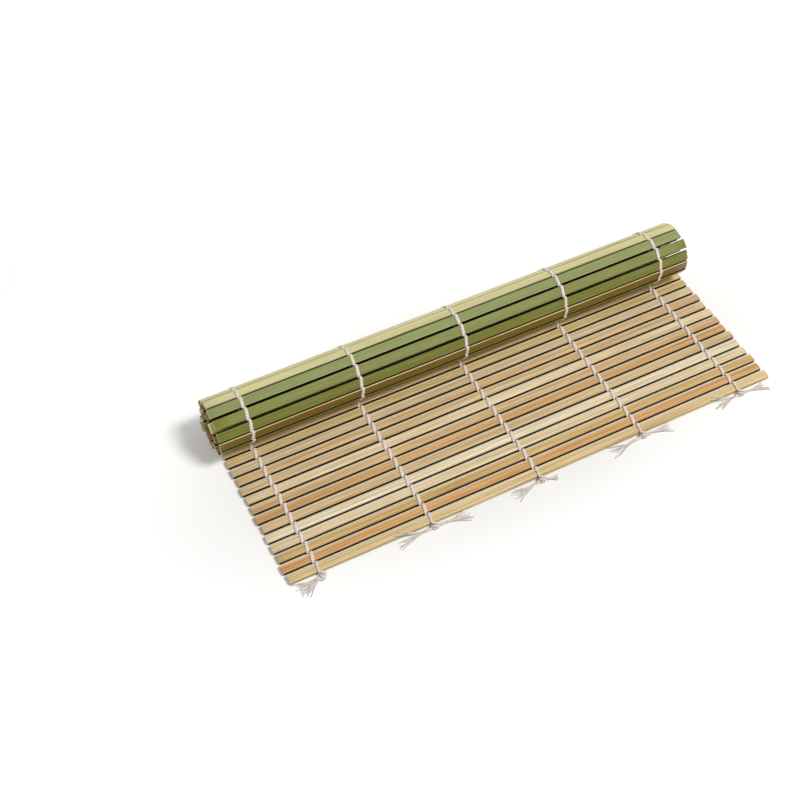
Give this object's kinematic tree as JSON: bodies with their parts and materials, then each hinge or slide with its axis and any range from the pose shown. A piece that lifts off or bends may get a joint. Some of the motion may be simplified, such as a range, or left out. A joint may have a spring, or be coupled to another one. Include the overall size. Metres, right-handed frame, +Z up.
{
  "type": "sushi rolling mat",
  "caption": "Bamboo sushi rolling mat, flat split slats lashed side by side with rows of twined cotton cord, its back part rolled up and its front part lying flat.",
  "frame": {"origin": "middle of the footprint, on the surface that the mat lies on", "axes": "+X along the slats, -Y towards the knotted edge, +Z up"},
  "size_m": [0.2448, 0.1012, 0.0285],
  "materials": {
    "bamboo": "satin",
    "cotton": "matte"
  },
  "bodies": {
    "slat_01": {"slat_01": "bamboo", "knot_1": "cotton", "knot_2": "cotton", "knot_3": "cotton", "knot_4": "cotton", "knot_5": "cotton"},
    "slat_02": {"slat_02": "bamboo"},
    "slat_03": {"slat_03": "bamboo"},
    "slat_04": {"slat_04": "bamboo"},
    "slat_05": {"slat_05": "bamboo"},
    "slat_06": {"slat_06": "bamboo"},
    "slat_07": {"slat_07": "bamboo"},
    "slat_08": {"slat_08": "bamboo"},
    "slat_09": {"slat_09": "bamboo"},
    "slat_10": {"slat_10": "bamboo"},
    "slat_11": {"slat_11": "bamboo"},
    "slat_12": {"slat_12": "bamboo"},
    "slat_13": {"slat_13": "bamboo"},
    "slat_14": {"slat_14": "bamboo"},
    "slat_15": {"slat_15": "bamboo"},
    "slat_16": {"slat_16": "bamboo"},
    "slat_17": {"slat_17": "bamboo"},
    "slat_18": {"slat_18": "bamboo"},
    "slat_19": {"slat_19": "bamboo"},
    "slat_20": {"slat_20": "bamboo"},
    "slat_21": {"slat_21": "bamboo"},
    "slat_22": {"slat_22": "bamboo"},
    "slat_23": {"slat_23": "bamboo"},
    "slat_24": {"slat_24": "bamboo"},
    "slat_25": {"slat_25": "bamboo"},
    "slat_26": {"slat_26": "bamboo"},
    "slat_27": {"slat_27": "bamboo"},
    "slat_28": {"slat_28": "bamboo"},
    "slat_29": {"slat_29": "bamboo"},
    "slat_30": {"slat_30": "bamboo"},
    "slat_31": {"slat_31": "bamboo"},
    "slat_32": {"slat_32": "bamboo"},
    "slat_33": {"slat_33": "bamboo"},
    "slat_34": {"slat_34": "bamboo"},
    "slat_35": {"slat_35": "bamboo"},
    "slat_36": {"slat_36": "bamboo"},
    "slat_37": {"slat_37": "bamboo"},
    "slat_38": {"slat_38": "bamboo"},
    "slat_39": {"slat_39": "bamboo"},
    "slat_40": {"slat_40": "bamboo"},
    "slat_41": {"slat_41": "bamboo"},
    "slat_42": {"slat_42": "bamboo"},
    "slat_43": {"slat_43": "bamboo"},
    "slat_44": {"slat_44": "bamboo", "bight_1": "cotton", "bight_2": "cotton", "bight_3": "cotton", "bight_4": "cotton", "bight_5": "cotton"}
  },
  "joints": [
    {"name": "unroll_1", "type": "hinge", "parent": "slat_15", "child": "slat_16", "pos_m": [0, 0.03858, 0.00135], "axis": [-1, 0, 0], "range_deg": [0, 22.6]},
    {"name": "unroll_2", "type": "hinge", "parent": "slat_16", "child": "slat_17", "pos_m": [0, 0.04356, 0.00343], "axis": [-1, 0, 0], "range_deg": [0, 22.94]},
    {"name": "unroll_3", "type": "hinge", "parent": "slat_17", "child": "slat_18", "pos_m": [0, 0.04735, 0.00728], "axis": [-1, 0, 0], "range_deg": [0, 23.29]},
    {"name": "unroll_4", "type": "hinge", "parent": "slat_18", "child": "slat_19", "pos_m": [0, 0.0493, 0.01231], "axis": [-1, 0, 0], "range_deg": [0, 23.66]},
    {"name": "unroll_5", "type": "hinge", "parent": "slat_19", "child": "slat_20", "pos_m": [0, 0.04906, 0.01771], "axis": [-1, 0, 0], "range_deg": [0, 24.05]},
    {"name": "fold_20_21", "type": "hinge", "parent": "slat_20", "child": "slat_21", "pos_m": [0, 0.04665, 0.02254], "axis": [-1, 0, 0], "range_deg": [0, 24.48]},
    {"name": "fold_21_22", "type": "hinge", "parent": "slat_21", "child": "slat_22", "pos_m": [0, 0.04245, 0.02594], "axis": [-1, 0, 0], "range_deg": [0, 24.91]},
    {"name": "fold_22_23", "type": "hinge", "parent": "slat_22", "child": "slat_23", "pos_m": [0, 0.03721, 0.02725], "axis": [-1, 0, 0], "range_deg": [0, 25.37]},
    {"name": "fold_23_24", "type": "hinge", "parent": "slat_23", "child": "slat_24", "pos_m": [0, 0.03192, 0.0262], "axis": [-1, 0, 0], "range_deg": [0, 25.85]},
    {"name": "fold_24_25", "type": "hinge", "parent": "slat_24", "child": "slat_25", "pos_m": [0, 0.02761, 0.02294], "axis": [-1, 0, 0], "range_deg": [0, 26.37]},
    {"name": "fold_25_26", "type": "hinge", "parent": "slat_25", "child": "slat_26", "pos_m": [0, 0.02519, 0.01811], "axis": [-1, 0, 0], "range_deg": [0, 26.91]},
    {"name": "fold_26_27", "type": "hinge", "parent": "slat_26", "child": "slat_27", "pos_m": [0, 0.02522, 0.01272], "axis": [-1, 0, 0], "range_deg": [0, 27.49]},
    {"name": "fold_27_28", "type": "hinge", "parent": "slat_27", "child": "slat_28", "pos_m": [0, 0.02774, 0.00794], "axis": [-1, 0, 0], "range_deg": [0, 28.11]},
    {"name": "fold_28_29", "type": "hinge", "parent": "slat_28", "child": "slat_29", "pos_m": [0, 0.03221, 0.00491], "axis": [-1, 0, 0], "range_deg": [0, 28.77]},
    {"name": "fold_29_30", "type": "hinge", "parent": "slat_29", "child": "slat_30", "pos_m": [0, 0.03759, 0.0044], "axis": [-1, 0, 0], "range_deg": [0, 29.48]},
    {"name": "fold_30_31", "type": "hinge", "parent": "slat_30", "child": "slat_31", "pos_m": [0, 0.04252, 0.00661], "axis": [-1, 0, 0], "range_deg": [0, 30.25]},
    {"name": "fold_31_32", "type": "hinge", "parent": "slat_31", "child": "slat_32", "pos_m": [0, 0.04567, 0.01099], "axis": [-1, 0, 0], "range_deg": [0, 31.09]},
    {"name": "fold_32_33", "type": "hinge", "parent": "slat_32", "child": "slat_33", "pos_m": [0, 0.0461, 0.01637], "axis": [-1, 0, 0], "range_deg": [0, 32]},
    {"name": "fold_33_34", "type": "hinge", "parent": "slat_33", "child": "slat_34", "pos_m": [0, 0.04362, 0.02117], "axis": [-1, 0, 0], "range_deg": [0, 33]},
    {"name": "fold_34_35", "type": "hinge", "parent": "slat_34", "child": "slat_35", "pos_m": [0, 0.03893, 0.02384], "axis": [-1, 0, 0], "range_deg": [0, 34.1]},
    {"name": "fold_35_36", "type": "hinge", "parent": "slat_35", "child": "slat_36", "pos_m": [0, 0.03354, 0.02342], "axis": [-1, 0, 0], "range_deg": [0, 35.32]},
    {"name": "fold_36_37", "type": "hinge", "parent": "slat_36", "child": "slat_37", "pos_m": [0, 0.02939, 0.01997], "axis": [-1, 0, 0], "range_deg": [0, 36.68]},
    {"name": "fold_37_38", "type": "hinge", "parent": "slat_37", "child": "slat_38", "pos_m": [0, 0.02812, 0.01472], "axis": [-1, 0, 0], "range_deg": [0, 38.23]},
    {"name": "fold_38_39", "type": "hinge", "parent": "slat_38", "child": "slat_39", "pos_m": [0, 0.03037, 0.00981], "axis": [-1, 0, 0], "range_deg": [0, 39.99]},
    {"name": "fold_39_40", "type": "hinge", "parent": "slat_39", "child": "slat_40", "pos_m": [0, 0.03524, 0.00749], "axis": [-1, 0, 0], "range_deg": [0, 42.03]},
    {"name": "fold_40_41", "type": "hinge", "parent": "slat_40", "child": "slat_41", "pos_m": [0, 0.04042, 0.00903], "axis": [-1, 0, 0], "range_deg": [0, 44.43]},
    {"name": "fold_41_42", "type": "hinge", "parent": "slat_41", "child": "slat_42", "pos_m": [0, 0.04304, 0.01376], "axis": [-1, 0, 0], "range_deg": [0, 47.32]},
    {"name": "fold_42_43", "type": "hinge", "parent": "slat_42", "child": "slat_43", "pos_m": [0, 0.04134, 0.01888], "axis": [-1, 0, 0], "range_deg": [0, 50.9]},
    {"name": "fold_43_44", "type": "hinge", "parent": "slat_43", "child": "slat_44", "pos_m": [0, 0.0363, 0.02081], "axis": [-1, 0, 0], "range_deg": [0, 55.51]},
    {"name": "roll_up_1", "type": "hinge", "parent": "slat_15", "child": "slat_14", "pos_m": [0, 0.03318, 0.00135], "axis": [-1, 0, 0], "range_deg": [0, 19.96]},
    {"name": "roll_up_2", "type": "hinge", "parent": "slat_14", "child": "slat_13", "pos_m": [0, 0.02778, 0.00135], "axis": [-1, 0, 0], "range_deg": [0, 19.73]},
    {"name": "roll_up_3", "type": "hinge", "parent": "slat_13", "child": "slat_12", "pos_m": [0, 0.02238, 0.00135], "axis": [-1, 0, 0], "range_deg": [0, 19.52]},
    {"name": "fold_12_11", "type": "hinge", "parent": "slat_12", "child": "slat_11", "pos_m": [0, 0.01698, 0.00135], "axis": [-1, 0, 0], "range_deg": [0, 19.33]},
    {"name": "fold_11_10", "type": "hinge", "parent": "slat_11", "child": "slat_10", "pos_m": [0, 0.01158, 0.00135], "axis": [-1, 0, 0], "range_deg": [0, 19.13]},
    {"name": "fold_10_09", "type": "hinge", "parent": "slat_10", "child": "slat_09", "pos_m": [0, 0.00618, 0.00135], "axis": [-1, 0, 0], "range_deg": [0, 18.93]},
    {"name": "fold_09_08", "type": "hinge", "parent": "slat_09", "child": "slat_08", "pos_m": [0, 0.00078, 0.00135], "axis": [-1, 0, 0], "range_deg": [0, 18.74]},
    {"name": "fold_08_07", "type": "hinge", "parent": "slat_08", "child": "slat_07", "pos_m": [0, -0.00462, 0.00135], "axis": [-1, 0, 0], "range_deg": [0, 18.56]},
    {"name": "fold_07_06", "type": "hinge", "parent": "slat_07", "child": "slat_06", "pos_m": [0, -0.01002, 0.00135], "axis": [-1, 0, 0], "range_deg": [0, 18.38]},
    {"name": "fold_06_05", "type": "hinge", "parent": "slat_06", "child": "slat_05", "pos_m": [0, -0.01542, 0.00135], "axis": [-1, 0, 0], "range_deg": [0, 18.2]},
    {"name": "fold_05_04", "type": "hinge", "parent": "slat_05", "child": "slat_04", "pos_m": [0, -0.02082, 0.00135], "axis": [-1, 0, 0], "range_deg": [0, 18.04]},
    {"name": "fold_04_03", "type": "hinge", "parent": "slat_04", "child": "slat_03", "pos_m": [0, -0.02622, 0.00135], "axis": [-1, 0, 0], "range_deg": [0, 17.87]},
    {"name": "fold_03_02", "type": "hinge", "parent": "slat_03", "child": "slat_02", "pos_m": [0, -0.03162, 0.00135], "axis": [-1, 0, 0], "range_deg": [0, 17.71]},
    {"name": "fold_02_01", "type": "hinge", "parent": "slat_02", "child": "slat_01", "pos_m": [0, -0.03702, 0.00135], "axis": [-1, 0, 0], "range_deg": [0, 17.55]}
  ],
  "couplings": [
    {"joint": "fold_20_21", "follows": "unroll_1", "ratio": 1.0825},
    {"joint": "fold_21_22", "follows": "unroll_2", "ratio": 1.0854},
    {"joint": "fold_22_23", "follows": "unroll_3", "ratio": 1.0884},
    {"joint": "fold_23_24", "follows": "unroll_4", "ratio": 1.0918},
    {"joint": "fold_24_25", "follows": "unroll_5", "ratio": 1.0953},
    {"joint": "fold_25_26", "follows": "unroll_1", "ratio": 1.1899},
    {"joint": "fold_26_27", "follows": "unroll_2", "ratio": 1.1976},
    {"joint": "fold_27_28", "follows": "unroll_3", "ratio": 1.2059},
    {"joint": "fold_28_29", "follows": "unroll_4", "ratio": 1.215},
    {"joint": "fold_29_30", "follows": "unroll_5", "ratio": 1.225},
    {"joint": "fold_30_31", "follows": "unroll_1", "ratio": 1.3379},
    {"joint": "fold_31_32", "follows": "unroll_2", "ratio": 1.3546},
    {"joint": "fold_32_33", "follows": "unroll_3", "ratio": 1.3731},
    {"joint": "fold_33_34", "follows": "unroll_4", "ratio": 1.3937},
    {"joint": "fold_34_35", "follows": "unroll_5", "ratio": 1.4168},
    {"joint": "fold_35_36", "follows": "unroll_1", "ratio": 1.562},
    {"joint": "fold_36_37", "follows": "unroll_2", "ratio": 1.5984},
    {"joint": "fold_37_38", "follows": "unroll_3", "ratio": 1.6403},
    {"joint": "fold_38_39", "follows": "unroll_4", "ratio": 1.689},
    {"joint": "fold_39_40", "follows": "unroll_5", "ratio": 1.7464},
    {"joint": "fold_40_41", "follows": "unroll_1", "ratio": 1.9651},
    {"joint": "fold_41_42", "follows": "unroll_2", "ratio": 2.0622},
    {"joint": "fold_42_43", "follows": "unroll_3", "ratio": 2.1845},
    {"joint": "fold_43_44", "follows": "unroll_4", "ratio": 2.345},
    {"joint": "fold_12_11", "follows": "roll_up_1", "ratio": 0.9675},
    {"joint": "fold_11_10", "follows": "roll_up_2", "ratio": 0.9682},
    {"joint": "fold_10_09", "follows": "roll_up_3", "ratio": 0.96887},
    {"joint": "fold_09_08", "follows": "roll_up_1", "ratio": 0.938},
    {"joint": "fold_08_07", "follows": "roll_up_2", "ratio": 0.93927},
    {"joint": "fold_07_06", "follows": "roll_up_3", "ratio": 0.94049},
    {"joint": "fold_06_05", "follows": "roll_up_1", "ratio": 0.91105},
    {"joint": "fold_05_04", "follows": "roll_up_2", "ratio": 0.9128},
    {"joint": "fold_04_03", "follows": "roll_up_3", "ratio": 0.91448},
    {"joint": "fold_03_02", "follows": "roll_up_1", "ratio": 0.88632},
    {"joint": "fold_02_01", "follows": "roll_up_2", "ratio": 0.88846}
  ]
}
